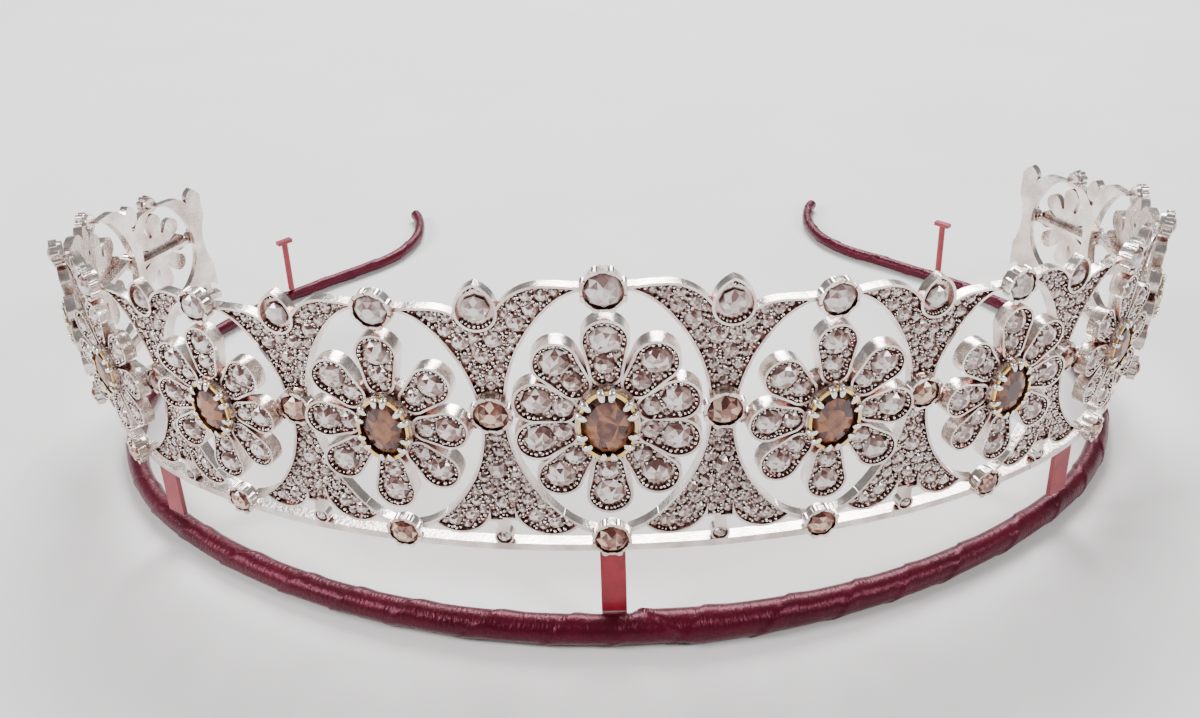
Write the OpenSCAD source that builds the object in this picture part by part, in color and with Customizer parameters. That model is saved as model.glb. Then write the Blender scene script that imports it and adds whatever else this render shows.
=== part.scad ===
// Openwork tiara of graduated flower panels on a ribbon-wrapped hoop.
// Millimetres, +Z up. The middle flower faces -Y, and the head goes in from below.
// The part stands on its hoop at Z = 0, with the middle of its footprint at the origin.

/* [Band] */
// Width of the middle panel, from one spacer's axis to the next
panel_w = 24.6; // [24:0.2:27]
// Share of size lost from each panel to the next one outwards
size_step = 0.087; // [0.06:0.001:0.09]
// Depth of the openwork wall from front to back
wall_t = 1.2; // [1:0.1:1.6]
// Outward lean of the wall in degrees
lean = 3; // [0:0.5:6]
// Width of the polished rim round each set field
rim_w = 0.3; // [0.25:0.05:0.4]
// Depth of the set fields below their rims
field_d = 0.6; // [0.5:0.1:0.8]
// Width of the band past the axis of its last spacer
end_w = 1.6; // [1.2:0.1:2]

/* [Opening of the middle panel] */
// Widest width of the opening
opening_w = 21.7; // [21:0.1:22]
// Height of the widest place above the rail
opening_z = 17.8; // [17:0.1:18.4]
// Reach of the opening above its widest place
opening_up = 16; // [15.6:0.1:16.4]
// Reach of the opening below its widest place
opening_down = 15.5; // [15:0.1:16]
// Radius of the opening's top and bottom ends
opening_end_r = 7.5; // [6:0.1:8.5]

/* [Spacer of the middle panel] */
// Height of the pointed bud's tip above the rail
bud_tip = 35.5; // [35:0.1:36.6]
// Radius of the two arcs of the bud's point
bud_r = 3.8; // [2.8:0.1:4.2]
// Widest width of the bud
bud_w = 4.9; // [4:0.1:5.2]
// Way from the spacer's axis out to the bud's axis
bud_out = 0.9; // [0:0.1:1]
// Distance of each leaf's crest from the spacer's axis
leaf_x = 6.4; // [6:0.1:7]
// Height of each leaf's crest above the rail
leaf_top = 34; // [33.6:0.1:34.6]
// Radius of each leaf's shoulder
leaf_r = 6; // [5:0.1:6.3]
// Radius of each leaf's long edge from its crest to its tip
leaf_run_r = 16; // [14:1:24]
// Distance of each foot leaf's lowest place from the spacer's axis
foot_x = 5.4; // [5:0.1:6]
// Height of that lowest place above the rail
foot_z = 1.35; // [1.1:0.05:1.8]
// Radius of the foot leaf's underside
foot_r = 4.2; // [3.8:0.1:5]
// Height of the notches beside the drop
notch_z = 3.4; // [3:0.1:4]
// Radius of the round drop on the rail
drop_r = 1.15; // [0.9:0.05:1.4]

/* [Collets of the middle panel] */
// Outer radius of the collet over each opening
top_collet_r = 2.4; // [2.2:0.05:2.6]
// Height of that collet's centre above the rail
top_collet_z = 34; // [33.6:0.1:34.6]
// Outer radius of the collet on the rail under each opening
low_collet_r = 2.2; // [2:0.05:2.4]
// Depth by which that collet stands into the rail
low_collet_seat = 0.3; // [0.2:0.05:0.5]
// Outer radius of the collet at each spacer's waist
waist_collet_r = 2.35; // [2:0.05:2.4]
// Height of that collet's centre above the rail
waist_collet_z = 19.2; // [18.5:0.1:20]
// Stand of the collets in front of the wall
collet_d = 0.9; // [0.8:0.1:1.2]
// Wall thickness of the collets
collet_t = 0.3; // [0.25:0.05:0.4]
// Radius of the eight claws of a collet
claw_r = 0.4; // [0.3:0.05:0.5]

/* [Stones] */
// Stand of the round stones in front of their collets
stone_out = 0.6; // [0.5:0.05:0.7]
// Height of a round stone as a share of its radius
stone_rise = 0.6; // [0.5:0.05:0.65]
// Radius of the round stone in each bud of the middle panel
bud_stone_r = 1.6; // [1.3:0.05:1.8]
// Half width of the middle flower's centre stone
stone_rx = 2.7; // [2.4:0.1:3]
// Half height of that stone
stone_rz = 3.8; // [3.4:0.1:3.9]

/* [Flower of the middle panel] */
// Height of the flower's centre above the rail
flower_z = 18.6; // [18:0.1:19]
// Reach of the petals sideways
flower_rx = 10.2; // [9.6:0.1:10.3]
// Reach of the petals upwards and downwards
flower_rz = 12.4; // [11.6:0.1:12.5]
// Width of a petal of the middle flower, which has ten
petal_w10 = 5.1; // [4.4:0.1:5.2]
// Width of a petal of the other flowers, which have eight
petal_w8 = 5.2; // [4.4:0.1:5.4]
// Radius of a petal's root as a share of its width
petal_root = 0.36; // [0.3:0.01:0.38]
// Depth of the petals from front to back
petal_d = 2; // [1.8:0.1:2.4]
// Stand of the petals in front of the wall
petal_out = 1.4; // [1:0.1:1.6]
// Stand of the centre stone's cup in front of the petals
cup_h = 0.7; // [0.6:0.1:1.2]
// Wall thickness of that cup
cup_t = 0.75; // [0.6:0.05:0.9]

/* [Rail and hoop] */
// Height of the base rail
rail_h = 0.9; // [0.7:0.1:1.2]
// Depth of the base rail from front to back
rail_t = 1.6; // [1.4:0.1:2.2]
// Thickness of the wrapped hoop at its front
hoop_d = 4; // [3.6:0.1:4.4]
// Thickness of the hoop at its two tips
tip_d = 2.2; // [1.8:0.1:2.6]
// Height of the rail's top above the hoop's centre
rail_above_hoop = 10; // [9:0.1:12]
// Distance of the hoop's front centre line before the wall's front face
hoop_front = 2.3; // [1.5:0.1:3]
// Distance from the wall's front face back to the middle of the footprint
footprint_mid = 56.9; // [50:0.1:60]
// Radius of the hoop's front bend
hoop_front_r = 81; // [80:1:84]
// Radius of the hoop's side bends
hoop_side_r = 44; // [42:1:46]
// Radius of the outward bend at each tip of the hoop
tip_r = 18; // [14:1:22]
// Width of the flat posts between hoop and rail
post_w = 2.9; // [2:0.1:3.2]
// Thickness of the flat posts
post_t = 0.6; // [0.4:0.1:0.8]
// Height of the two small pins on the hoop's back
pin_h = 8.5; // [7:0.5:10]
// Thickness of those pins
pin_d = 1; // [0.8:0.1:1.4]

/* [Hidden] */
$fn = 48;
gap = 0.1;
eps = 0.01;
last = 6;

// Turn of the wall at each flower in degrees, from the middle outwards
turns = [12, 13.5, 16, 21, 25, 27, 27];
hoop_z = (hoop_d + gap) / 2;
rail_z = hoop_z + rail_above_hoop;
// Stretches of half the hoop, from the middle of its front to its tip. The turn is in degrees,
// positive towards the middle and negative outwards, and the thickness is in millimetres.
RADIUS = 0;
TURN = 1;
THICK = 2;
stretches = [[hoop_front_r, 44, hoop_d],
    [hoop_side_r, 28, hoop_d * 0.94],
    [hoop_side_r, 28, hoop_d * 0.86],
    [hoop_side_r, 17, hoop_d * 0.74],
    [hoop_side_r, 20, hoop_d * 0.62],
    [250, 4, tip_d],
    [tip_r, -75, tip_d]];
// The stretch on whose start the two pins stand, and their way along it
pin_stretch = 5;
pin_along = 1.5;
// Angle by which each stretch of the hoop stops short inside its ribbon turn
turn_short = 0.05;
// Step between two curves that would touch smoothly, so that their joint is a clear edge
joint_step = 0.03;
// Reach of the collets behind the wall's front face, and their radius there as a share
collet_back = 0.6;
collet_taper = 0.9;
// Ways by which the ties stop short of each flower's axis, each inside the back of a collet
top_seam = top_collet_r * 0.5;
low_seam = low_collet_r * 0.65;
// Start of the leaves' ties before that axis, their height, and their drop under the collet
tie_l = 3;
tie_h = 0.6;
tie_drop = 0.35;
// Lower end of the foot ties above the rail
foot_tie_z = low_collet_r * 0.4;
// Width of the rims round the waist's collet and inside the drop
waist_rim_w = rim_w * 0.8;
drop_rim_w = rim_w * 0.75;
// Stand of a collet's claws in front of its cup, and the way of their axes inside its edge
claw_out = claw_r / 3;
claw_in = claw_r / 2;
// Way from the bud's tip down to its stone
bud_stone_drop = bud_w * 0.65;
// Length of the straight pieces of the rail under the drops, which is more than a drop's width
rail_joint_w = drop_r * 2 + 0.6;
ribbon_w = 1.2;
// Depth of the posts' tops behind the wall's front face, and the side posts' way past a spacer
post_back = 0.8;
post_along = 6;
post_foot_out = 1.8;
// Width of the thin rims between the foot leaves and the collets on the rail
foot_rim_w = 0.6;
cup_rx = stone_rx + cup_t;
cup_rz = stone_rz + cup_t;
// Size of the base behind the petals against the cup
base_share = 1.35;
// Radius of the cup's claws, the way of their axes inside its edge, and the angle from the middle
// of each pair to its two claws
cup_claw_r = cup_t * 0.4;
cup_claw_in = cup_claw_r * 0.8;
claw_spread = 11;
// Thickness of the cup's closed back, and the depth of the stone's girdle inside the cup
cup_back_t = 0.4;
girdle_in = 0.4;
// The cross bar on a flower's back that its side petals are held by
bar_h = 1.2;
bar_y = 0.4;

// Size of a panel against the middle one
function size(i) = 1 - size_step * i;
function half_w(i) = panel_w * size(i) / 2;
// Heading of the flat stretch between flower i and flower i + 1
function heading(i) = i == 0 ? turns[0] / 2 : heading(i - 1) + turns[i];
// Plan place of flower i on the wall's front face
function spot(i) = i == 0 ? [0, 0]
    : spot(i - 1) + (half_w(i - 1) + half_w(i)) * [cos(heading(i - 1)), sin(heading(i - 1))];
// Plan place of the spacer between flower i and flower i + 1
function spacer_spot(i) = spot(i) + half_w(i) * [cos(heading(i)), sin(heading(i))];
function low_collet_z(i) = low_collet_r * size(i) - low_collet_seat;
function flower_heading(i) = heading(i) - turns[i] / 2;
function next_size(i) = size(min(i + 1, last));
function spacer_size(i) = (size(i) + next_size(i)) / 2;
// Radius of the side arcs of an oval of half width a and reach b whose ends have the radius r
function side_r(a, b, r) = (a * a + b * b - 2 * b * r) / (2 * (a - r));
// Distance from the centre to an oval's edge, at the angle a from +X
function oval_reach(rx, rz, a) = 1 / sqrt(pow(cos(a) / rx, 2) + pow(sin(a) / rz, 2));

// Puts a front view, drawn in X and Z with Y = 0 on the wall's front face, on the band
module on_band(place, turn) {
    translate([place[0], place[1] - footprint_mid, rail_z])
        rotate([0, 0, turn])
            rotate([lean, 0, 0])
                children();
}

module at_flower(i) {
    on_band(spot(i), flower_heading(i)) children();
}

module at_spacer(i) {
    on_band(spacer_spot(i), heading(i)) children();
}

module both_sides() {
    children();
    mirror([1, 0, 0]) children();
}

// Gives an outline in the XY plane the depth from y = back to y = front, back being larger
module upright(front, back) {
    translate([0, back, 0]) rotate([90, 0, 0]) linear_extrude(back - front) children();
}

// Upper half of an oval of half width a and reach b with ends of radius r, made wider by e
module half_oval_2d(a, b, r, e) {
    side = side_r(a, b, r);
    joint_z = (b - r) * (side + e) / (side - r);
    intersection() {
        translate([a - side, 0]) circle(side + e, $fn = 192);
        translate([side - a, 0]) circle(side + e, $fn = 192);
        translate([-b, 0]) square([2 * b, joint_z]);
    }
    intersection() {
        translate([0, b - r]) circle(r + e - joint_step, $fn = 96);
        translate([-b, joint_z]) square([2 * b, b]);
    }
}

// The egg-shaped opening of a panel of size s, made wider all round by e
module opening_2d(s, e = 0) {
    translate([0, opening_z * s]) {
        half_oval_2d(opening_w / 2 * s, opening_up * s, opening_end_r * s, e);
        mirror([0, 1])
            half_oval_2d(opening_w / 2 * s - joint_step, opening_down * s, opening_end_r * s, e);
    }
}

// One leaf and half foot of a spacer towards a panel of size s; e takes the outline inwards
module spacer_half_2d(s, e) {
    foot_centre_z = (foot_z + foot_r) * s;
    difference() {
        union() {
            translate([leaf_x, leaf_top - leaf_r] * s) circle(leaf_r * s - e, $fn = 96);
            intersection() {
                translate([leaf_x + 1, leaf_top - leaf_run_r] * s)
                    circle(leaf_run_r * s - e, $fn = 144);
                translate([leaf_x, foot_r] * s) square([half_w(0) - leaf_x, bud_tip] * s);
            }
            translate([-eps, foot_centre_z])
                square([half_w(0) * s, (leaf_top - leaf_r) * s - foot_centre_z]);
            translate([-eps, foot_centre_z])
                square([leaf_x * s / 3, (leaf_top - leaf_r / 2) * s - foot_centre_z]);
            translate([-eps, notch_z * s + e]) square([foot_x * s / 3 - e, foot_centre_z]);
            translate([foot_x * s, foot_centre_z]) circle(foot_r * s - e);
        }
        translate([half_w(0) * s, 0]) opening_2d(s, e);
        translate([-panel_w - eps, 0]) square([panel_w, bud_tip * 2]);
        translate([(half_w(0) - top_seam) * s - e, 0]) square([panel_w, bud_tip * 2]);
    }
}

// Egg-shaped bud with a pointed top
module bud_2d(s, e) {
    off = (bud_r - bud_w / 2) * s;
    rise = sqrt(pow(bud_r, 2) - pow(bud_r - bud_w / 2, 2)) * s;
    translate([bud_out * s, bud_tip * s - rise]) {
        intersection() {
            translate([-off, 0]) circle(bud_r * s - e);
            translate([off, 0]) circle(bud_r * s - e);
            translate([-bud_w, 0]) square([bud_w * 2, bud_w * 2]);
        }
        circle(bud_w / 2 * s - e - joint_step);
    }
}

module drop_2d(s, e) {
    translate([0, (drop_r - low_collet_seat) * s]) circle(drop_r * s - e);
}

// Fleur-de-lis spacer between panels of the sizes left and right
module spacer_2d(left, right) {
    mid = (left + right) / 2;
    neck = drop_r * 0.6 * mid;
    spacer_half_2d(right, 0);
    ties_2d(right);
    mirror([1, 0]) {
        spacer_half_2d(left, 0);
        ties_2d(left);
    }
    bud_2d(mid, 0);
    drop_2d(mid, 0);
    translate([-neck, drop_r * mid]) square([neck * 2, foot_r * mid]);
}

// The set fields of a spacer, each inside its own rim
module spacer_fields_2d(left, right) {
    mid = (left + right) / 2;
    difference() {
        union() {
            spacer_half_2d(right, rim_w);
            mirror([1, 0]) spacer_half_2d(left, rim_w);
        }
        bud_2d(mid, 0);
        translate([0, waist_collet_z * mid]) circle(waist_collet_r * mid + waist_rim_w);
    }
    bud_2d(mid, rim_w);
    drop_2d(mid, drop_rim_w);
}

// What ties a spacer to the collets of a panel of size s: a short bar from the leaf's tip, and a
// thin rim that runs from the foot leaf down to the collet on the rail
module ties_2d(s) {
    translate([half_w(0) - tie_l, top_collet_z - tie_drop - tie_h / 2] * s)
        square([tie_l - top_seam, tie_h] * s);
    intersection() {
        difference() {
            translate([half_w(0) * s, 0]) opening_2d(s, foot_rim_w);
            translate([half_w(0) * s, 0]) opening_2d(s);
        }
        translate([foot_x, foot_tie_z] * s)
            square([(half_w(0) - foot_x - low_seam) * s, low_collet_r * s * 2]);
    }
}

function stone_r(r) = r - collet_t - gap;
function stone_h(r) = r * stone_rise;

// Tapered cup with eight claws that holds a round stone, centred at z; its seat lies in front of
// the wall
module collet(r, z) {
    seat_y = stone_h(stone_r(r)) - collet_d - stone_out + gap;
    translate([0, 0, z]) difference() {
        union() {
            translate([0, collet_back, 0]) rotate([90, 0, 0])
                cylinder(h = collet_back + collet_d, r1 = r * collet_taper, r2 = r);
            upright(-collet_d - claw_out, 0) for (a = [22.5 : 45 : 337.5])
                rotate(a) translate([r - claw_in, 0]) circle(claw_r, $fn = 16);
        }
        upright(-collet_d - 1, seat_y) circle(r - collet_t);
    }
}

// Stack of rings of n points each, joined by triangles. A ring is [half width, half height,
// place along the axis, turn in steps].
RING_X = 0;
RING_Y = 1;
RING_Z = 2;
RING_TURN = 3;
module cut_stone(rings, n) {
    count = len(rings);
    points = [for (ring = rings, k = [0 : n - 1])
        let (a = (k + ring[RING_TURN]) * 360 / n)
        [ring[RING_X] * cos(a), ring[RING_Y] * sin(a), ring[RING_Z]]];
    // A half-step turn upwards puts the upper point k between the lower points k and k + 1
    sides = [for (i = [0 : count - 2], k = [0 : n - 1])
        let (m = (k + 1) % n, low = i * n, high = (i + 1) * n,
            twist = rings[i + 1][RING_TURN] != rings[i][RING_TURN])
        each twist
            ? [[low + k, high + k, low + m], [high + k, high + m, low + m]]
            : [[low + k, high + m, low + m], [low + k, high + k, high + m]]];
    ends = [[for (k = [0 : n - 1]) k],
        [for (k = [n - 1 : -1 : 0]) (count - 1) * n + k]];
    polyhedron(points, concat(sides, ends));
}

// Rose-cut stone of radius r with a flat back and a small table, centred at z
module rose_stone(r, z, front) {
    h = stone_h(r);
    translate([0, front + h, z]) rotate([90, 0, 0])
        cut_stone([[r * 0.9, r * 0.9, 0, 0], [r, r, h * 0.25, 0],
            [r * 0.74, r * 0.74, h * 0.72, 0.5], [r * 0.36, r * 0.36, h, 1]], 8);
}

// Outline of a petal of length l and width w that points along +Y from its root at the origin
module petal_2d(l, w, e = 0) {
    tip = w / 2;
    root = w * petal_root;
    slope = asin((tip - root) / (l - tip - root));
    translate([0, l - tip]) circle(tip - e);
    translate([0, root]) circle(root - e);
    polygon([for (side = [1, -1], end = side == 1 ? [0, 1] : [1, 0])
        let (r = (end == 0 ? root : tip) - e - joint_step, y = end == 0 ? root : l - tip)
        [side * r * cos(slope), y - r * sin(slope)]]);
}

module oval_2d(rx, rz, n = 24) {
    polygon([for (k = [0 : n - 1]) [rx * cos(k * 360 / n), rz * sin(k * 360 / n)]]);
}

// Outlines of all the petals, from the cup's oval to the flower's
module petals_2d(count, w, e = 0) {
    for (a = [90 : 360 / count : 449]) {
        root = oval_reach(cup_rx, cup_rz, a) - rim_w;
        rotate(a - 90) translate([0, root])
            petal_2d(oval_reach(flower_rx, flower_rz, a) - root, w, e);
    }
}

// Flower of full size: petals, a base, the claw cup of its centre stone and the bar behind
module flower_full(count, w, bar_l, bar_back) {
    back = petal_d - petal_out;
    field_y = field_d - petal_out;
    cup_y = -petal_out - cup_h;
    translate([0, 0, flower_z]) {
        difference() {
            union() {
                upright(-petal_out, back) petals_2d(count, w);
                upright(field_y, back) oval_2d(cup_rx * base_share, cup_rz * base_share);
                upright(cup_y, back) oval_2d(cup_rx, cup_rz);
                upright(bar_y, bar_back) square([bar_l, bar_h], center = true);
            }
            upright(-petal_out - 1, field_y) difference() {
                petals_2d(count, w, rim_w);
                oval_2d(cup_rx + rim_w / 2, cup_rz + rim_w / 2);
            }
            upright(cup_y - 1, back - cup_back_t) oval_2d(stone_rx + gap * 2, stone_rz + gap * 2);
        }
        for (a = [30 : 60 : 330], b = [-claw_spread, claw_spread])
            upright(cup_y - cup_claw_r, cup_y + 1)
                translate([(cup_rx - cup_claw_in) * cos(a + b),
                    (cup_rz - cup_claw_in) * sin(a + b)])
                    circle(cup_claw_r, $fn = 16);
    }
}

// Room for the collet at the waist of spacer i, with its claws and its stone
module waist_room(i) {
    mid = spacer_size(i);
    at_spacer(i) translate([0, 0, waist_collet_z * mid])
        upright(-collet_d - stone_out - gap, panel_w / 2)
            circle(waist_collet_r * mid + claw_r - claw_in + gap);
}

// Flower i, whose bar reaches to the collets at both sides
module flower(i) {
    bar_l = opening_w * cos(turns[i] / 2);
    bar_back = opening_w / 2 * sin(turns[i] / 2) + wall_t / 3 / size(i);
    color("gainsboro") difference() {
        at_flower(i) scale(size(i))
            if (i == 0) flower_full(10, petal_w10, bar_l, bar_back);
            else flower_full(8, petal_w8, bar_l, bar_back);
        waist_room(i);
        if (i == 0) mirror([1, 0, 0]) waist_room(0);
        else waist_room(i - 1);
    }
}

// Centre stone: a table, a crown, a girdle and a deep back, oval in the front view
module centre_stone(i) {
    rx = stone_rx;
    rz = stone_rz;
    girdle = petal_out + cup_h - girdle_in;
    color("sienna") at_flower(i) scale(size(i)) translate([0, 0, flower_z]) rotate([90, 0, 0])
        cut_stone([[rx * 0.3, rz * 0.3, girdle - 1.7, 0], [rx, rz, girdle - 0.1, 0.5],
            [rx, rz, girdle + 0.2, 0.5], [rx * 0.8, rz * 0.8, girdle + 0.75, 1],
            [rx * 0.44, rz * 0.44, girdle + 1.15, 1.5]], 12);
}

// Keeps what lies inside the band's end at the last spacer
module inside_end(i, x) {
    difference() {
        children();
        if (i == last) translate([x, -bud_tip]) square([panel_w, bud_tip * 3]);
    }
}

module spacer(i) {
    mid = spacer_size(i);
    upright(0, wall_t) inside_end(i, end_w) spacer_2d(size(i), next_size(i));
    collet(waist_collet_r * mid, waist_collet_z * mid);
}

module spacer_fields(i) {
    upright(-eps, field_d) inside_end(i, end_w - rim_w) spacer_fields_2d(size(i), next_size(i));
}

// Puts a plan view, drawn in X and Y with Z = 0 on the rail's top, at a place on the band
module on_rail(place, turn) {
    translate([place[0], place[1] - footprint_mid, rail_z]) rotate([0, 0, turn]) children();
}

// Base rail at flower i: an arc that touches the flat stretches of the wall at the spacers.
// It stops short of them, inside the joints.
module rail_arc(i) {
    r = half_w(i) / tan(turns[i] / 2);
    short = atan((rail_joint_w / 2 - gap) / r);
    on_rail(spot(i), flower_heading(i)) translate([0, half_w(i) / sin(turns[i] / 2), -rail_h])
        rotate([0, 0, short - 90 - turns[i] / 2])
            rotate_extrude(angle = turns[i] - 2 * short, $fn = 180)
                translate([r - rail_t, 0]) square([rail_t, rail_h]);
}

// Short straight piece of the rail at spacer i, a little thicker than the arcs that it joins
module rail_joint(i) {
    on_rail(spacer_spot(i), heading(i)) translate([-rail_joint_w / 2, -joint_step, -rail_h - eps])
        cube([rail_joint_w / 2 + (i == last ? end_w : rail_joint_w / 2),
            rail_t + joint_step * 2, rail_h + eps * 2]);
}

// What joins two spacers at flower i: the collets over and under its opening
module joint_at(i) {
    at_flower(i) {
        collet(top_collet_r * size(i), top_collet_z * size(i));
        collet(low_collet_r * size(i), low_collet_z(i));
    }
}

module band() {
    color("silver") {
        joint_at(0);
        rail_arc(0);
        both_sides() {
            for (i = [0 : last]) {
                at_spacer(i) difference() {
                    spacer(i);
                    spacer_fields(i);
                }
                rail_joint(i);
            }
            for (i = [1 : last]) {
                joint_at(i);
                rail_arc(i);
            }
        }
    }
}

// One round stone on each flower's axis, for collets of radius r at the heights given
module stones_on_flowers(r, heights) {
    front = -collet_d - stone_out;
    color("rosybrown") {
        at_flower(0) rose_stone(stone_r(r), heights[0], front);
        both_sides() for (i = [1 : last]) at_flower(i)
            rose_stone(stone_r(r * size(i)), heights[i], front);
    }
}

module top_stones() {
    stones_on_flowers(top_collet_r, [for (i = [0 : last]) top_collet_z * size(i)]);
}

module rail_stones() {
    stones_on_flowers(low_collet_r, [for (i = [0 : last]) low_collet_z(i)]);
}

module waist_stones() {
    color("rosybrown") both_sides() for (i = [0 : last]) at_spacer(i)
        rose_stone(stone_r(waist_collet_r * spacer_size(i)), waist_collet_z * spacer_size(i),
            -collet_d - stone_out);
}

// The large stone in each bud, on the floor of its field
module bud_stones() {
    color("lightgray") both_sides() for (i = [0 : last]) at_spacer(i) {
        r = bud_stone_r * spacer_size(i);
        translate([bud_out * spacer_size(i), 0, 0])
            rose_stone(r, (bud_tip - bud_stone_drop) * spacer_size(i), field_d - gap - stone_h(r));
    }
}

// Carries its children from a stretch's start, where the hoop heads along +X, to its end
module along(stretch) {
    r = stretch[RADIUS] * sign(stretch[TURN]);
    translate([0, r, 0]) rotate([0, 0, stretch[TURN]]) translate([0, -r, 0]) children();
}

// Bent tube of one stretch; it lies on the plane that the whole hoop lies on
module tube(stretch) {
    r = stretch[RADIUS];
    mirror([0, stretch[TURN] < 0 ? 1 : 0, 0])
        translate([0, r, (stretch[THICK] + gap) / 2]) rotate([0, 0, turn_short - 90])
            rotate_extrude(angle = abs(stretch[TURN]) - 2 * turn_short, $fn = 180)
                translate([r, 0]) circle(d = stretch[THICK]);
}

// One turn of ribbon, a little thicker than the hoop, which joins two stretches
module ribbon_turn(thick) {
    translate([0, 0, (thick + gap) / 2]) rotate([0, 90, 0])
        cylinder(h = ribbon_w, d = thick + gap, center = true);
}

// Half of the hoop from stretch k to its tip
module half_hoop(k = 0) {
    ribbon_turn(stretches[max(k - 1, 0)][THICK]);
    tube(stretches[k]);
    along(stretches[k]) {
        if (k < len(stretches) - 1) half_hoop(k + 1);
        else ribbon_turn(tip_d);
    }
}

module hoop() {
    color("darkred") translate([0, -hoop_front - footprint_mid, 0]) both_sides() half_hoop();
}

// Flat post whose foot rests on the hoop's front bend and whose top is under the rail.
// Its foot stands foot_out further out than its top.
module post(place, turn, foot_out) {
    rise = rail_above_hoop - rail_h - gap;
    color("firebrick") difference() {
        translate([place[0], place[1] - footprint_mid, hoop_z]) rotate([0, 0, turn])
            translate([-post_w / 2, post_back - foot_out, 0]) rotate([-atan(foot_out / rise), 0, 0])
                cube([post_w, post_t, rise * 2]);
        translate([-panel_w * 4, -footprint_mid * 2, rail_z - rail_h - gap])
            cube([panel_w * 8, footprint_mid * 4, rail_above_hoop * 2]);
        translate([0, hoop_front_r - hoop_front - footprint_mid, hoop_z])
            rotate_extrude($fn = 180) translate([hoop_front_r, 0]) circle(r = hoop_d / 2 + gap);
    }
}

module side_post() {
    post(spacer_spot(2) + post_along * [cos(heading(2)), sin(heading(2))], heading(2), 0);
}

// Thin pin with a small cross head, which stands on the hoop at the start of stretch k
module pin(k = 0) {
    if (k < pin_stretch) along(stretches[k]) pin(k + 1);
    else translate([pin_along, 0, stretches[k][THICK] + gap * 1.5]) {
        cylinder(h = pin_h, d = pin_d);
        translate([-pin_d * 1.3, -pin_d / 2, pin_h - eps])
            cube([pin_d * 2.6, pin_d, pin_d * 0.6]);
    }
}

module right_pin() {
    color("firebrick") translate([0, -hoop_front - footprint_mid, 0]) pin();
}

band();
hoop();
post([0, 0], 0, post_foot_out);  // post_mid
mirror([1, 0, 0]) side_post();  // post_left
side_post();  // post_right
mirror([1, 0, 0]) right_pin();  // pin_left
right_pin();  // pin_right
top_stones();
waist_stones();
rail_stones();
bud_stones();
flower(0);  // flower_0
centre_stone(0);  // stone_0
for (i = [1 : last]) {
    flower(i);
    mirror([1, 0, 0]) flower(i);
    centre_stone(i);
    mirror([1, 0, 0]) centre_stone(i);
}
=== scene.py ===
import math
import random

import bpy
import numpy as np
from mathutils import Matrix, Vector
from mathutils.bvhtree import BVHTree
from mathutils.kdtree import KDTree


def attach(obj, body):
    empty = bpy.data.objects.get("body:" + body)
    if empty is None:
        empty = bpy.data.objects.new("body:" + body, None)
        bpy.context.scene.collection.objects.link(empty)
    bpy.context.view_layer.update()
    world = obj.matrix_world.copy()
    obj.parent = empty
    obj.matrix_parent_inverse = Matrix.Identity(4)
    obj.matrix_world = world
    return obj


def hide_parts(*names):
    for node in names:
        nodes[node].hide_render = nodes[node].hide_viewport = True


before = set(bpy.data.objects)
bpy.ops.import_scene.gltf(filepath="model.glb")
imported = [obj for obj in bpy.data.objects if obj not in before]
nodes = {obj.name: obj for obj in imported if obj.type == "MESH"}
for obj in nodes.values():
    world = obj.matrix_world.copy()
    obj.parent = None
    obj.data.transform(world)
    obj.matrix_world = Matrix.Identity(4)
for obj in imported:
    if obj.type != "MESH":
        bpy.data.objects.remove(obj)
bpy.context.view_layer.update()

mm = 0.001
bpy.ops.object.select_all(action="DESELECT")


# Camera, floor and lamps
# The camera looks down on the middle flower from about 15 cm away. One wide lamp behind and over
# the tiara lights its upper edges, and two smaller ones light the front from its sides.

camera_pitch = 0.52697
camera_yaw = -0.02438
camera_roll = -0.036768
camera_place = Vector((2.44, -182.7, 109.92)) * mm
ahead = Vector((math.sin(camera_yaw) * math.cos(camera_pitch),
                math.cos(camera_yaw) * math.cos(camera_pitch), -math.sin(camera_pitch)))
level = Vector((math.cos(camera_yaw), -math.sin(camera_yaw), 0))
upward = level.cross(ahead)
right = math.cos(camera_roll) * level + math.sin(camera_roll) * upward
upward = math.cos(camera_roll) * upward - math.sin(camera_roll) * level

bpy.ops.object.camera_add(location=camera_place)
camera = bpy.context.object
camera.matrix_world = Matrix.Translation(camera_place) @ Matrix((right, upward, -ahead)).transposed().to_4x4()
camera.data.lens = 42
camera.data.sensor_width = 36
camera.data.clip_start = 0.005
bpy.context.scene.camera = camera


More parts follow.
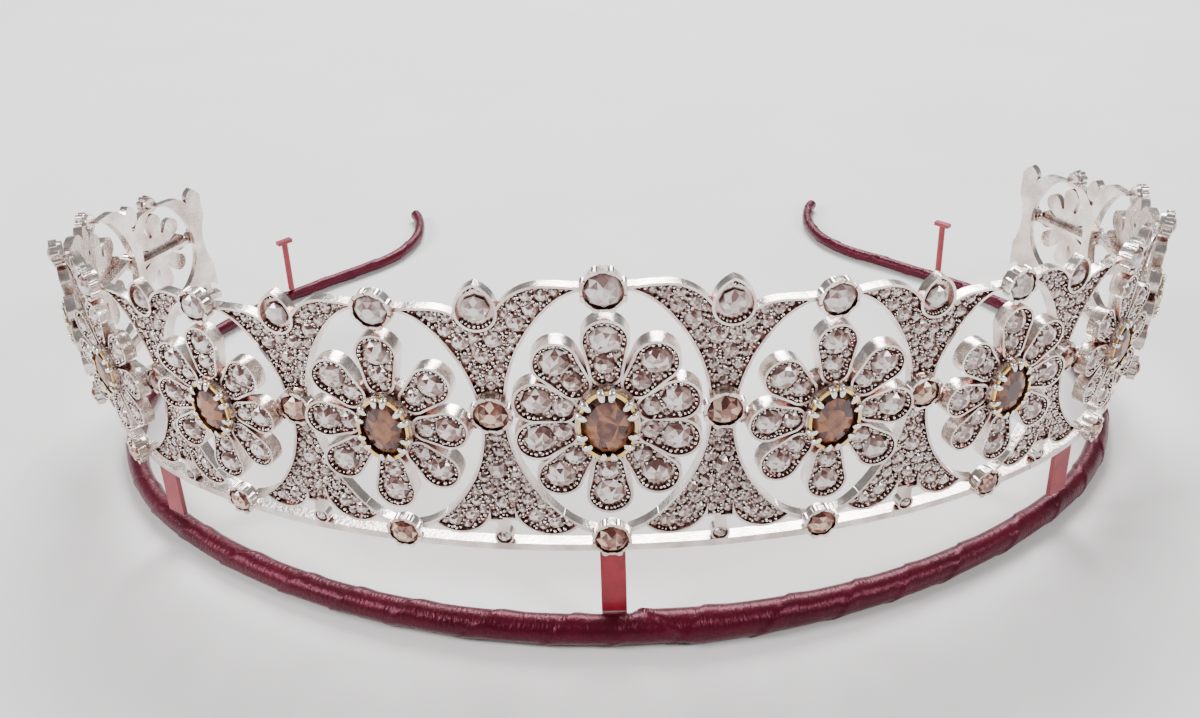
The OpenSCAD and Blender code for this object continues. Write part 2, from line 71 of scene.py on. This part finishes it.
class Wire:
    """A socket of a material in the making. Operators on wires add Math nodes."""

    def __init__(self, socket):
        self.socket = socket

    def node(self, kind, settings=(), values=(), output=0):
        """Adds a node: its settings first, then the values or wires of its sockets."""
        tree = self.socket.id_data
        made = tree.nodes.new("ShaderNode" + kind)
        for name, value in dict(settings).items():
            if name == "stops":
                ramp = made.color_ramp
                while len(ramp.elements) < len(value):
                    ramp.elements.new(0.5)
                for element, (position, colour) in zip(ramp.elements, value):
                    element.position = position
                    element.color = (*colour, 1)
            else:
                setattr(made, name, value)
        for name, value in dict(values).items():
            if isinstance(value, Wire):
                tree.links.new(value.socket, made.inputs[name])
            else:
                made.inputs[name].default_value = value
        return Wire(made.outputs[output])

    def to(self, socket):
        """Joins this wire to a socket of the shader."""
        self.socket.id_data.links.new(self.socket, socket)

    def maths(self, operation, first, second):
        """A Math node on two values or wires."""
        return self.node("Math", {"operation": operation}, {0: first, 1: second})

    def __add__(self, other):
        return self.maths("ADD", self, other)

    def __radd__(self, other):
        return self.maths("ADD", other, self)

    def __sub__(self, other):
        return self.maths("SUBTRACT", self, other)

    def __rsub__(self, other):
        return self.maths("SUBTRACT", other, self)

    def __mul__(self, other):
        return self.maths("MULTIPLY", self, other)

    def __rmul__(self, other):
        return self.maths("MULTIPLY", other, self)

    def noise(self, size):
        """Noise whose features are about that many metres across."""
        return self.node("TexNoise", {}, {"Vector": self, "Scale": 1 / size, "Detail": 3})

    def ramp(self, *stops):
        """Colours at positions from 0 to 1."""
        return self.node("ValToRGB", {"stops": stops}, {"Fac": self})

    def blend(self, low, high):
        """A colour between two, by this wire's value."""
        return self.node("Mix", {"data_type": "RGBA"}, {0: self, 6: low, 7: high}, 2)

    def bump(self, distance):
        """A normal for a surface that this wire raises by up to that many metres."""
        return self.node("Bump", {}, {"Height": self, "Distance": distance})


def new_finish(name, **plain):
    """A material with its shader and its object coordinates. plain sets what doesn't vary."""
    finish = bpy.data.materials.new(name)
    finish.use_nodes = True
    shader = finish.node_tree.nodes["Principled BSDF"]
    for socket, value in plain.items():
        shader.inputs[socket.replace("_", " ")].default_value = value
    coordinates = finish.node_tree.nodes.new("ShaderNodeTexCoord")
    return finish, shader.inputs, Wire(coordinates.outputs["Object"])


floor_finish, sockets, place = new_finish("pale_floor", Roughness=0.75)
place.noise(30 * mm).ramp((0.3, (0.80, 0.78, 0.77)), (0.7, (0.84, 0.82, 0.81))).to(sockets["Base Color"])

bpy.ops.mesh.primitive_circle_add(vertices=96, radius=3, fill_type="NGON")
floor = bpy.context.object
floor.name = "floor"
floor.data.materials.append(floor_finish)


lamp_target = Vector((0, 0, 20)) * mm


def soft_lamp(name, location, width, power):
    """A square area lamp that faces the middle of the tiara."""
    bpy.ops.object.light_add(type="AREA", location=Vector(location))
    lamp = bpy.context.object
    lamp.name = name
    lamp.data.size = width
    lamp.data.energy = power
    lamp.rotation_euler = (lamp_target - lamp.location).to_track_quat("-Z", "Y").to_euler()


soft_lamp("lamp_behind", (0.05, 0.45, 0.55), 0.4, 9.5)
soft_lamp("lamp_left", (-0.55, -0.25, 0.40), 0.25, 5)
soft_lamp("lamp_right", (0.50, -0.40, 0.45), 0.2, 3.5)
room = bpy.data.worlds.new("room")
room.use_nodes = True
room.node_tree.nodes["Background"].inputs["Color"].default_value = (0.80, 0.82, 0.85, 1)
room.node_tree.nodes["Background"].inputs["Strength"].default_value = 0.32
bpy.context.scene.world = room


# Band
# The openwork wall of cast and soldered silver, with its rims, collets and rail. It is the
# imported solid with a silver finish, bright where it is rubbed and brown in its recesses from tarnish and
# painted shade.

# The wall is a row of panels, one a flower, which get smaller outwards by size_step. It turns at
# each flower, by the angles in turns, and is flat across each spacer.
panel_w = 24.6 * mm
size_step = 0.087
last = 6
turns = [math.radians(angle) for angle in (12, 13.5, 16, 21, 25, 27, 27)]
lean = math.radians(3)
footprint_mid = 56.9 * mm
rail_top = 12.05 * mm


def size(i):
    """Size of panel i against the middle one."""
    return 1 - size_step * i


def next_size(i):
    """Size of the panel beyond spacer i. The last spacer ends the band."""
    return size(min(i + 1, last))


def spacer_size(i):
    """Size of the spacer between flower i and flower i + 1."""
    return (size(i) + next_size(i)) / 2


def half_w(i):
    """Half the width of panel i."""
    return panel_w * size(i) / 2


def heading(i):
    """Heading of the flat stretch of wall between flower i and flower i + 1."""
    return turns[0] / 2 if i == 0 else heading(i - 1) + turns[i]


def along(angle):
    """Unit vector in plan at a heading."""
    return Vector((math.cos(angle), math.sin(angle), 0))


def spot(i):
    """Plan place of flower i on the wall's front face."""
    return Vector() if i == 0 else spot(i - 1) + (half_w(i - 1) + half_w(i)) * along(heading(i - 1))


def on_band(plan, angle, side):
    """Frame of a front view on the band: x along it, y into it, z up from the rail's top."""
    origin = Vector((side * plan.x, plan.y - footprint_mid, rail_top))
    return (Matrix.Translation(origin) @ Matrix.Rotation(side * angle, 4, "Z")
            @ Matrix.Rotation(lean, 4, "X"))


def at_flower(i, side):
    """Frame of flower i. side is 1 on the right and -1 on the left."""
    return on_band(spot(i), 0 if i == 0 else heading(i) - turns[i] / 2, side)


def at_spacer(i, side):
    """Frame of the spacer outside flower i."""
    return on_band(spot(i) + half_w(i) * along(heading(i)), heading(i), side)


def silver_finish(name, bright, dull, shade_and_tarnish):
    """Polished metal with soft wear, and with tarnish and painted shade in its crevices."""
    finish, sockets, place = new_finish(name, Metallic=1.0)
    wear = place.noise(3 * mm).ramp((0.35, bright), (0.7, dull))
    # Ambient occlusion darkens the crevices with tarnish and painted shade, where less light reaches.
    painted_shade_and_tarnish_mask = place.node("AmbientOcclusion", {"samples": 6}, {"Distance": 1.2 * mm}, "AO")
    painted_shade_and_tarnish_mask.ramp((0.25, (0, 0, 0)), (0.75, (1, 1, 1))).blend((*shade_and_tarnish, 1), wear).to(
        sockets["Base Color"])
    (0.14 + 0.22 * place.noise(0.8 * mm)).to(sockets["Roughness"])
    place.noise(0.5 * mm).bump(0.05 * mm).to(sockets["Normal"])
    return finish


# The third colour of each silver finish is its tarnish and painted shade in the crevices.
silver = silver_finish("silver", (0.93, 0.87, 0.82), (0.60, 0.48, 0.43), (0.32, 0.14, 0.12))
# The grains' silver is painted lighter than the band's, as painted glints on the beads.
grain_silver_painted_glint = silver_finish("grain_silver_painted_glint", (0.98, 0.95, 0.92), (0.84, 0.76, 0.71), (0.24, 0.10, 0.08))


def dress(name, finish):
    """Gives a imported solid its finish."""
    nodes[name].data.materials.clear()
    nodes[name].data.materials.append(finish)


dress("band", silver)


# Small stones and grains of the spacers
# Rose-cut stones lie in the recessed fields of the spacers, each held by grains of silver that
# stand between them. Stones and grains are modelled once and repeated in one mesh.

field_d = 0.6 * mm
field_low = 0.4 * mm
field_high = 35 * mm
bud_stone_r = 1.6 * mm
bud_out = 0.9 * mm
bud_stone_z = 32.3 * mm
bud_room = 1.25
drop_stone_r = 0.9 * mm
drop_stone_z = 1.0 * mm
drop_stone_h = 1.0 * mm
drop_room = 1.3

# The search for a field's floor: the grid's pitch, how far before the band its rays start, how
# far they go, and how near to the floor's depth they have to end
grid_pitch = 0.13 * mm
view_back = 6 * mm
ray_reach = 9 * mm
floor_tolerance = 0.08 * mm

# Stones: the gap round each, how far a wanted one may be from its place and over its field's
# edge, the least and largest radius, and how high one stands for its radius and its field's depth
stone_gap = 0.05 * mm
wanted_within = 0.5 * mm
edge_overlap = 0.12 * mm
smallest_stone = 0.4 * mm
largest_filler = 0.8 * mm
stone_lift = 0.05 * mm
stone_rise = 0.45
stone_depth = 0.35

# Grains, and the beads round each stone that is larger than beaded_stone. Sizes, heights and
# lengths are drawn between two shares of the radius.
smallest_grain = 0.08 * mm
largest_grain = 0.3 * mm
grain_overlap = 0.12 * mm
grain_depth = 0.5
grain_sizes = (0.55, 1.0)
grain_heights = (1.2, 1.8)
grain_lengths = (0.6, 0.9)
grain_turn = 0.6
beaded_stone = 0.6 * mm
beads = 4
bead_r = 0.26 * mm
bead_sizes = (0.7, 1.0)
bead_heights = (1.3, 1.8)
bead_wander = 0.3
draw = random.Random(11)

# A spacer's stones in millimetres at full size: way from its axis, height over the rail and
# radius. Those off the axis have a twin on the other side.
spacer_stones = [
    (8.2, 31.7, 0.7), (6.8, 31.2, 0.8), (5.2, 30.6, 1.05), (3.6, 29.0, 1.1), (3.1, 27.0, 0.75),
    (1.1, 27.2, 1.05), (0, 25.3, 0.85), (1.6, 25.0, 0.7), (0, 22.8, 1.2), (0, 14.3, 0.8),
    (0, 11.5, 1.3), (1.3, 8.5, 0.9), (0, 6.5, 0.9), (2.6, 6.2, 0.8), (1.4, 4.6, 0.8),
    (3.6, 4.3, 1.0), (5.6, 3.1, 1.0), (7.0, 3.0, 0.6), (0, 2.9, 0.7),
]


def finished(name):
    """Leaves edit mode and names the object that was modelled."""
    bpy.ops.object.mode_set(mode="OBJECT")
    made = bpy.context.object
    made.name = name
    made.select_set(False)
    return made


def rose_cut_pattern():
    """A rose-cut stone with eight sides, a radius of 1 and a height of 1, facing +Z."""
    bpy.ops.mesh.primitive_circle_add(vertices=8, radius=0.94, fill_type="NGON")
    bpy.ops.object.mode_set(mode="EDIT")
    bpy.ops.mesh.select_all(action="SELECT")
    for rise, spread, turn in ((0.25, 1.064, 0), (0.5, 0.72, 22.5), (0.25, 0.42, 22.5)):
        bpy.ops.mesh.extrude_region_move(TRANSFORM_OT_translate={"value": (0, 0, rise)})
        bpy.ops.transform.resize(value=(spread, spread, 1))
        bpy.ops.transform.rotate(value=math.radians(turn), orient_axis="Z",
                                 center_override=(0, 0, 0))
    bpy.ops.mesh.select_all(action="SELECT")
    bpy.ops.mesh.quads_convert_to_tris()
    bpy.ops.mesh.normals_make_consistent(inside=False)
    return finished("rose_cut_pattern")


def grain_pattern():
    """A grain of silver with a radius of 1."""
    bpy.ops.mesh.primitive_ico_sphere_add(subdivisions=1, radius=1)
    bpy.ops.object.mode_set(mode="EDIT")
    bpy.ops.mesh.select_all(action="SELECT")
    bpy.ops.mesh.faces_shade_smooth()
    return finished("grain_pattern")


def repeated(name, pattern, places, finish):
    """One mesh with a copy of the pattern at each place, riding on the tiara."""
    points = np.array([vertex.co for vertex in pattern.data.vertices])
    faces = [list(face.vertices) for face in pattern.data.polygons]
    smooth = pattern.data.polygons[0].use_smooth
    every_point = []
    every_face = []
    for k, where in enumerate(places):
        grid = np.array(where)
        every_point.append(points @ grid[:3, :3].T + grid[:3, 3])
        every_face += [[k * len(points) + corner for corner in face] for face in faces]
    mesh = bpy.data.meshes.new(name)
    mesh.from_pydata(np.concatenate(every_point).tolist(), [], every_face)
    mesh.polygons.foreach_set("use_smooth", [smooth] * len(mesh.polygons))
    piece = bpy.data.objects.new(name, mesh)
    bpy.context.scene.collection.objects.link(piece)
    mesh.materials.append(finish)
    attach(piece, "root")


def field_floor(name, view, floor_y, low, high, pitch):
    """Places in a grid on the floor of a piece's fields, and the way from each to the edge."""
    surface = BVHTree.FromObject(nodes[name], bpy.context.evaluated_depsgraph_get())
    inward = view.to_3x3() @ Vector((0, 1, 0))
    inside, outside = [], []
    for x in np.arange(low[0], high[0], pitch):
        for z in np.arange(low[1], high[1], pitch):
            way = surface.ray_cast(view @ Vector((x, -view_back, z)), inward, ray_reach)[3]
            on_floor = way is not None and abs(way - view_back - floor_y) < floor_tolerance
            (inside if on_floor else outside).append((x, z))
    edge = KDTree(len(outside))
    for k, (x, z) in enumerate(outside):
        edge.insert((x, z, 0), k)
    edge.balance()
    clear = [edge.find((x, z, 0))[2] - pitch / 2 for x, z in inside]
    return np.array(inside), np.array(clear)


def facing_out(view, x, y, z, radius, height, turn=0.0, long=1.0):
    """Place of a pattern whose +Z looks out of the band, standing on y."""
    return (view @ Matrix.Translation((x, y, z)) @ Matrix.Rotation(math.pi / 2, 4, "X")
            @ Matrix.Rotation(turn, 4, "Z") @ Matrix.Diagonal((radius, radius * long, height, 1)))


class Field:
    """The recessed fields of a piece, which are filled with stones and then with grains."""

    def __init__(self, name, view, floor_y, low, high, s):
        self.view, self.floor_y, self.s = view, floor_y, s
        self.places, self.clear = field_floor(name, view, floor_y, low, high, grid_pitch * s)

    def away(self, x, z):
        """How far each place of the grid is from a point."""
        return np.hypot(self.places[:, 0] - x, self.places[:, 1] - z)

    def block(self, x, z, r):
        """Takes a round place out of what is left."""
        self.clear = np.minimum(self.clear, self.away(x, z) - r - stone_gap * self.s)

    def set_grain(self, x, z, r, heights, grains):
        """A grain that stands up in the field, a little turned and drawn out."""
        grains.append(facing_out(self.view, x, self.floor_y - field_d * self.s * grain_depth, z, r,
                                 r * draw.uniform(*heights), draw.uniform(-grain_turn, grain_turn),
                                 draw.uniform(*grain_lengths)))

    def set_stone(self, k, r, stones, grains):
        """A stone, with beads pushed over its edge if it is a large one."""
        x, z = self.places[k]
        stones.append(facing_out(self.view, x, self.floor_y + stone_lift, z, r,
                                 stone_rise * r + field_d * self.s * stone_depth, draw.uniform(0, 1)))
        self.block(x, z, r)
        first = draw.uniform(0, math.tau)
        for turn in range(beads if r > beaded_stone * self.s else 0):
            angle = first + turn * math.tau / beads + draw.uniform(-bead_wander, bead_wander)
            bead = draw.uniform(*bead_sizes) * bead_r * self.s
            self.set_grain(x + r * math.cos(angle), z + r * math.sin(angle), bead, bead_heights, grains)

    def set_wanted(self, rows, stones, grains):
        """Sets the stones that have a known place, each as large as its field allows."""
        for x, z, r in rows:
            away = self.away(x, z)
            near = np.nonzero(away < wanted_within * self.s)[0]
            if len(near):
                k = near[np.argmax(self.clear[near])]
                r = min(r, self.clear[k] + edge_overlap * self.s)
                if r > smallest_stone * self.s:
                    self.set_stone(k, r, stones, grains)

    def fill(self, stones, grains):
        """Sets a stone wherever one still fits, the largest first, and grains in the gaps."""
        while self.clear.max() > smallest_stone * self.s:
            k = np.argmax(self.clear)
            self.set_stone(k, min(self.clear[k], largest_filler * self.s), stones, grains)
        while self.clear.max() > smallest_grain * self.s:
            k = np.argmax(self.clear)
            r = min(self.clear[k] + grain_overlap * self.s,
                    draw.uniform(*grain_sizes) * largest_grain * self.s)
            x, z = self.places[k]
            self.set_grain(x, z, r, grain_heights, grains)
            self.block(x, z, r)


stone_pattern = rose_cut_pattern()
grain = grain_pattern()
stones, grains = [], []
for side in (1, -1):
    for i in range(last + 1):
        middle = spacer_size(i)
        reach = half_w(i)
        field = Field("band", at_spacer(i, side), field_d, (-reach, field_low),
                      (reach, field_high * size(i)), middle)
        field.block(side * bud_out * middle, bud_stone_z * middle, bud_stone_r * middle * bud_room)
        field.block(0, drop_stone_z * middle, drop_stone_r * middle * drop_room)
        stones.append(facing_out(field.view, 0, field_d, drop_stone_z * middle, drop_stone_r * middle,
                                 drop_stone_h * middle))
        rows = []
        for x, z, r in spacer_stones:
            for half in ((1, -1) if x else (1,)):
                s = next_size(i) if half == 1 else size(i)
                rows.append((side * half * x * s * mm, z * s * mm, r * s * mm))
        field.set_wanted(rows, stones, grains)
        field.fill(stones, grains)


# Old stones: refraction of one without shine, what the painted facet glints and the cloud add to a
# facet's tone, and the tones at which it is dark, middle and light
dull_refraction = 1.4
painted_glint_share = 0.6
cloud_share = 0.4
facet_tones = (0.30, 0.46, 0.62)


def stone_finish(name, dark, middle, light, clear, painted_top_shade, shine):
    """Old cut stones: each facet painted lighter or darker at random as glints, and painted darker as it
    looks up, as shade on the stone's top.
    """
    finish, sockets, place = new_finish(name, Roughness=0.05, IOR=dull_refraction + shine,
                                        Coat_Weight=shine, Transmission_Weight=clear)
    normal = place.node("NewGeometry", output="Normal")
    steps = normal.node("VectorMath", {"operation": "SNAP"}, {0: normal, 1: (0.12, 0.12, 0.12)})
    # A random tone for each facet by its normal: painted glints and reflections on the cut.
    painted_glint = steps.node("TexWhiteNoise", {"noise_dimensions": "3D"}, {"Vector": steps})
    # The z of each facet's normal paints shade on facets that look up and light on those below.
    height = normal.node("SeparateXYZ", {}, {0: normal}, 2)
    cloud = place.noise(1.2 * mm)
    tone = painted_glint * (painted_glint_share - painted_top_shade) + cloud * cloud_share + painted_top_shade * (0.5 - 0.5 * height)
    tone.ramp(*zip(facet_tones, (dark, middle, light))).to(sockets["Base Color"])
    return finish


# The pave stones get painted facet glints and a little painted shade on their upper facets.
pave_stone = stone_finish("pave_stone", (0.12, 0.045, 0.04), (0.42, 0.26, 0.225), (0.96, 0.91, 0.87),
                          clear=0.15, painted_top_shade=0.12, shine=0.45)
repeated("spacer_stones", stone_pattern, stones, pave_stone)
repeated("spacer_grains", grain, grains, grain_silver_painted_glint)


# Flowers
# Each flower is one casting: petals with recessed fields, a base and the cup of its stone. The
# fields hold a large stone near each petal's tip, smaller ones inwards and grains between them.

flower_z = 18.6 * mm
flower_rx = 10.2 * mm
flower_rz = 12.4 * mm
petal_out = 1.4 * mm

# A petal's stones in millimetres at full size: way inwards from its tip, and radius
petal_stones = [(2.5, 1.7), (5.1, 1.25), (7.0, 0.9)]

# Half width of a petal's field at its root, how far out that is, and how it widens outwards
root_half_w = 1.6 * mm
root_at = 5.2 * mm
widening = 0.3


def flower_names():
    """Each flower's name, number, side and count of petals."""
    yield "flower_0", 0, 1, 10
    for i in range(1, last + 1):
        yield f"flower_r{i}", i, 1, 8
        yield f"flower_l{i}", i, -1, 8


stones, grains = [], []
for name, i, side, count in flower_names():
    dress(name, silver)
    s = size(i)
    view = at_flower(i, side)
    rows = []
    for k in range(count):
        angle = math.pi / 2 + k * math.tau / count
        reach = 1 / math.hypot(math.cos(angle) / flower_rx, math.sin(angle) / flower_rz)
        for inward, r in petal_stones:
            way = (reach - inward * mm) * s
            rows.append((way * math.cos(angle), flower_z * s + way * math.sin(angle), r * s * mm))
    wide, high = flower_rx * s, flower_rz * s
    field = Field(name, view, (field_d - petal_out) * s, (-wide, flower_z * s - high),
                  (wide, flower_z * s + high), s)
    x, z = field.places[:, 0], field.places[:, 1] - flower_z * s
    off_axis = (np.arctan2(z, x) - math.pi / 2 + math.pi / count) % (math.tau / count) - math.pi / count
    across, outward = np.hypot(x, z) * abs(np.sin(off_axis)), np.hypot(x, z) * np.cos(off_axis)
    field.clear[across > root_half_w * s + widening * (outward - root_at * s)] = -1
    field.set_wanted(rows, stones, grains)
    field.fill(stones, grains)
repeated("petal_stones", stone_pattern, stones, pave_stone)
repeated("petal_grains", grain, grains, grain_silver_painted_glint)


# Claws
# Pairs of silver claws bend over the edge of each centre stone, and a yellow gold lining shows
# between them inside the cup.

cup_rx = 3.45 * mm
cup_rz = 4.55 * mm
cup_front = 2.1 * mm

# Pairs of claws every 60 degrees. The two of a pair stand claw_apart degrees to either side.
claw_pairs = range(30, 390, 60)
claw_apart = 11
claw_r = 0.4 * mm
claw_rise = 0.42 * mm
claw_inset = 0.25 * mm
claw_back = 0.3 * mm
lining_rx = 2.85 * mm
lining_rz = 3.95 * mm
lining_h = 0.85 * mm
lining_back = 0.5 * mm


def claw_pattern():
    """A claw with a radius of 1 at its foot, which rises along +Z and bends towards -X."""
    bpy.ops.mesh.primitive_circle_add(vertices=10, radius=1, fill_type="NGON")
    bpy.ops.object.mode_set(mode="EDIT")
    bpy.ops.mesh.select_all(action="SELECT")
    for inward, rise, spread in ((0, 1.0, 1.05), (0.15, 0.7, 1.0), (0.5, 0.55, 0.95), (0.8, 0.25, 0.8),
                                 (0.6, -0.1, 0.55)):
        bpy.ops.mesh.extrude_region_move(TRANSFORM_OT_translate={"value": (-inward, 0, rise)})
        bpy.ops.transform.resize(value=(spread, spread, 1))
    bpy.ops.mesh.select_all(action="SELECT")
    bpy.ops.mesh.normals_make_consistent(inside=False)
    bpy.ops.mesh.faces_shade_smooth()
    return finished("claw_pattern")


def lining_pattern():
    """A round lining with an inner radius of 1 and a height of 1, open at its back."""
    bpy.ops.mesh.primitive_circle_add(vertices=48, radius=1)
    bpy.ops.object.mode_set(mode="EDIT")
    bpy.ops.mesh.select_all(action="SELECT")
    for rise, spread in ((1, 1), (0, 1.12), (-1, 1)):
        bpy.ops.mesh.extrude_region_move(TRANSFORM_OT_translate={"value": (0, 0, rise)})
        bpy.ops.transform.resize(value=(spread, spread, 1))
    bpy.ops.mesh.select_all(action="SELECT")
    bpy.ops.mesh.normals_make_consistent(inside=False)
    return finished("lining_pattern")


claw = claw_pattern()
lining = lining_pattern()
# Their third colours are tarnish and painted shade in the crevices.
gold = silver_finish("gold", (0.95, 0.72, 0.30), (0.80, 0.52, 0.18), (0.30, 0.12, 0.05))
claw_silver = silver_finish("claw_silver", (0.95, 0.93, 0.88), (0.86, 0.82, 0.74), (0.25, 0.15, 0.11))
claws, linings = [], []
for name, i, side, count in flower_names():
    s = size(i)
    view = at_flower(i, side)
    for pair in claw_pairs:
        for turn in (-claw_apart, claw_apart):
            angle = math.radians(pair + turn)
            x, z = (cup_rx - claw_inset) * math.cos(angle), (cup_rz - claw_inset) * math.sin(angle)
            claws.append(facing_out(view, x * s, -(cup_front - claw_back) * s, flower_z * s + z * s,
                                    claw_r * s, claw_rise * s, angle))
    linings.append(facing_out(view, 0, -(cup_front - lining_back) * s, flower_z * s, lining_rx * s,
                              lining_h * s, long=lining_rz / lining_rx))
repeated("claws", claw, claws, claw_silver)
repeated("linings", lining, linings, gold)


# Centre stones
# Oval brown stones with a table, held in the cups of the flowers.

# The centre stones get the most painted shade on their upper facets.
brown_stone = stone_finish("brown_stone", (0.025, 0.006, 0.006), (0.085, 0.024, 0.02), (0.36, 0.14, 0.06),
                           clear=0.08, painted_top_shade=0.28, shine=0.2)
for name, *_ in flower_names():
    dress(name.replace("flower", "stone"), brown_stone)


# Collet stones
# Round rose-cut stones in the claw collets: red-brown at the waists and on the rail, and clear
# at the top. The stone in each bud is clear too.

# These stones also get painted facet glints and painted shade on their upper facets.
collet_stone = stone_finish("collet_stone", (0.08, 0.015, 0.012), (0.34, 0.13, 0.09), (0.92, 0.66, 0.48),
                            clear=0.2, painted_top_shade=0.15, shine=0.3)
clear_stone = stone_finish("clear_stone", (0.28, 0.15, 0.14), (0.72, 0.58, 0.54), (0.98, 0.96, 0.93),
                           clear=0.3, painted_top_shade=0.15, shine=0.6)
for name, finish in (("top_stones", clear_stone), ("waist_stones", collet_stone),
                     ("rail_stones", collet_stone), ("bud_stones", clear_stone)):
    dress(name, finish)


# Hoop
# A wire wound with satin ribbon, thick at the front and thin at its two tips. The ribbon's turns
# overlap, and its end is laid over to the right of the middle post.

hoop_front = 2.3 * mm

# Half the hoop in plan, from the front: the radius of each bend in millimetres, and its angle
hoop_stretches = [(81, 44), (44, 93), (250, 4), (18, -75)]

# The wire thins from hoop_d to tip_d, which it reaches at taper_end of the way to its tip
hoop_d = 4 * mm
tip_d = 2.2 * mm
taper_end = 0.72
taper_power = 1.6
hoop_lift = 0.05 * mm
ring_step = 0.4 * mm
ring_sides = 40

# The ribbon's turns: the height of each ridge, how quickly it falls, how much lower it is at the
# tips, and how the turns crowd and part along the wire
wrap_pitch = 8.5 * mm
wrap_ridge = 0.2 * mm
ridge_fall = 3.5
ridge_thinning = 0.4
wander = 0.12
wander_rate = 190

# The ribbon's end: where it starts, how it slants round the wire, how thick it is at its edge and
# over what lengths it rises and sinks
flap_start = 4 * mm
flap_slant = 1.9 * mm
flap_h = 0.45 * mm
flap_edge = 0.5 * mm
flap_fade = 16 * mm


def hoop_route():
    """Points of half the hoop's centre line: way along it, place and heading."""
    route = []
    place, angle, way = Vector((0, -hoop_front - footprint_mid, 0)), 0.0, 0.0
    for radius, turn in hoop_stretches:
        length = radius * mm * math.radians(abs(turn))
        count = max(1, round(length / ring_step))
        for k in range(count):
            route.append((way, place.copy(), angle))
            angle += math.radians(turn) / count / 2
            place += along(angle) * (length / count)
            angle += math.radians(turn) / count / 2
            way += length / count
    route.append((way, place.copy(), angle))
    return route


half = hoop_route()
whole = [(-way, Vector((-place.x, place.y, 0)), -angle) for way, place, angle in reversed(half[1:])]
whole += half
ways = [way for way, place, angle in whole]


def thinned(way):
    """How far the wire has thinned at a way from the middle: 0 at the middle and 1 at a tip."""
    return min(1.0, abs(way) / (ways[-1] * taper_end))


def wound_radius(way):
    """Radius of the wound wire at a way from the middle."""
    return (hoop_d + (tip_d - hoop_d) * thinned(way) ** taper_power) / 2


def ribbon_radius(way, around):
    """Radius of the ribbon's surface at a way from the middle and an angle round the wire."""
    turn = (way / wrap_pitch - around / math.tau + wander * math.sin(way * wander_rate)) % 1.0
    ridge = wrap_ridge * max(0.0, 1 - turn * ridge_fall) * (1 - ridge_thinning * thinned(way))
    over = max(0.0, (way - flap_start) - (math.pi / 2 - around) * flap_slant)
    flap = flap_h * min(1.0, over / flap_edge) * math.exp(-over / flap_fade)
    return wound_radius(way) - wrap_ridge + ridge + flap


# Angles run from 0 at the hoop's outer side. Past its lowest line they are taken below 0, so that
# the ribbon's end has its edge there. The surface flattens the ribbon where it lies on it.
points, faces = [], []
for way, place, angle in whole:
    outward = Vector((math.sin(angle), -math.cos(angle), 0))
    for k in range(ring_sides):
        around = k * math.tau / ring_sides
        r = ribbon_radius(way, around if around <= math.pi * 1.5 else around - math.tau)
        height = max(0, math.sin(around) * r + wound_radius(way) + hoop_lift)
        points.append(place + outward * (math.cos(around) * r) + Vector((0, 0, height)))
for ring in range(len(whole) - 1):
    for k in range(ring_sides):
        a, b = ring * ring_sides + k, ring * ring_sides + (k + 1) % ring_sides
        faces.append((a, b, b + ring_sides, a + ring_sides))
faces.append(tuple(range(ring_sides - 1, -1, -1)))
faces.append(tuple(len(points) - ring_sides + k for k in range(ring_sides)))
mesh = bpy.data.meshes.new("ribbon_hoop")
mesh.from_pydata(points, [], faces)
mesh.polygons.foreach_set("use_smooth", [True] * len(mesh.polygons))
ribbon = bpy.data.objects.new("ribbon_hoop", mesh)
bpy.context.scene.collection.objects.link(ribbon)
bpy.context.view_layer.objects.active = ribbon
ribbon.select_set(True)
bpy.ops.object.mode_set(mode="EDIT")
bpy.ops.mesh.select_all(action="SELECT")
bpy.ops.mesh.normals_make_consistent(inside=False)
finished("ribbon_hoop")
uv = mesh.uv_layers.new(name="along_and_around")
for loop in mesh.loops:
    ring, k = divmod(loop.vertex_index, ring_sides)
    uv.data[loop.index].uv = (ways[ring], k / ring_sides * hoop_d * math.pi)

satin, sockets, place = new_finish("satin_ribbon", Roughness=0.34, Specular_IOR_Level=0.5, Sheen_Weight=0.08,
                                   Sheen_Roughness=0.35, Sheen_Tint=(0.9, 0.2, 0.35, 1),
                                   Specular_Tint=(1.0, 0.3, 0.45, 1))
place.noise(6 * mm).ramp((0.3, (0.026, 0.0004, 0.003)), (0.7, (0.055, 0.001, 0.008))).to(
    sockets["Base Color"])
unrolled = place.node("TexCoord", output="UV")
weave = unrolled.node("Mapping", {}, {"Vector": unrolled, "Scale": (1, 0.35, 1)})
weave.noise(0.35 * mm).bump(0.12 * mm).to(sockets["Normal"])
ribbon.data.materials.append(satin)
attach(ribbon, "root")
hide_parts("hoop")


# Posts and pins
# Flat red strips hold the rail over the hoop, and two small pins stand on the hoop's back.

red_strip, sockets, place = new_finish("red_strip", Roughness=0.45, Coat_Weight=0.3)
place.noise(1.5 * mm).ramp((0.3, (0.20, 0.005, 0.014)), (0.7, (0.30, 0.009, 0.025))).to(
    sockets["Base Color"])
for name in ("post_mid", "post_left", "post_right", "pin_left", "pin_right"):
    dress(name, red_strip)


# Patterns
# The patterns are only there to be repeated, so they are removed at the end.

for pattern in (stone_pattern, grain, claw, lining):
    bpy.data.objects.remove(pattern)
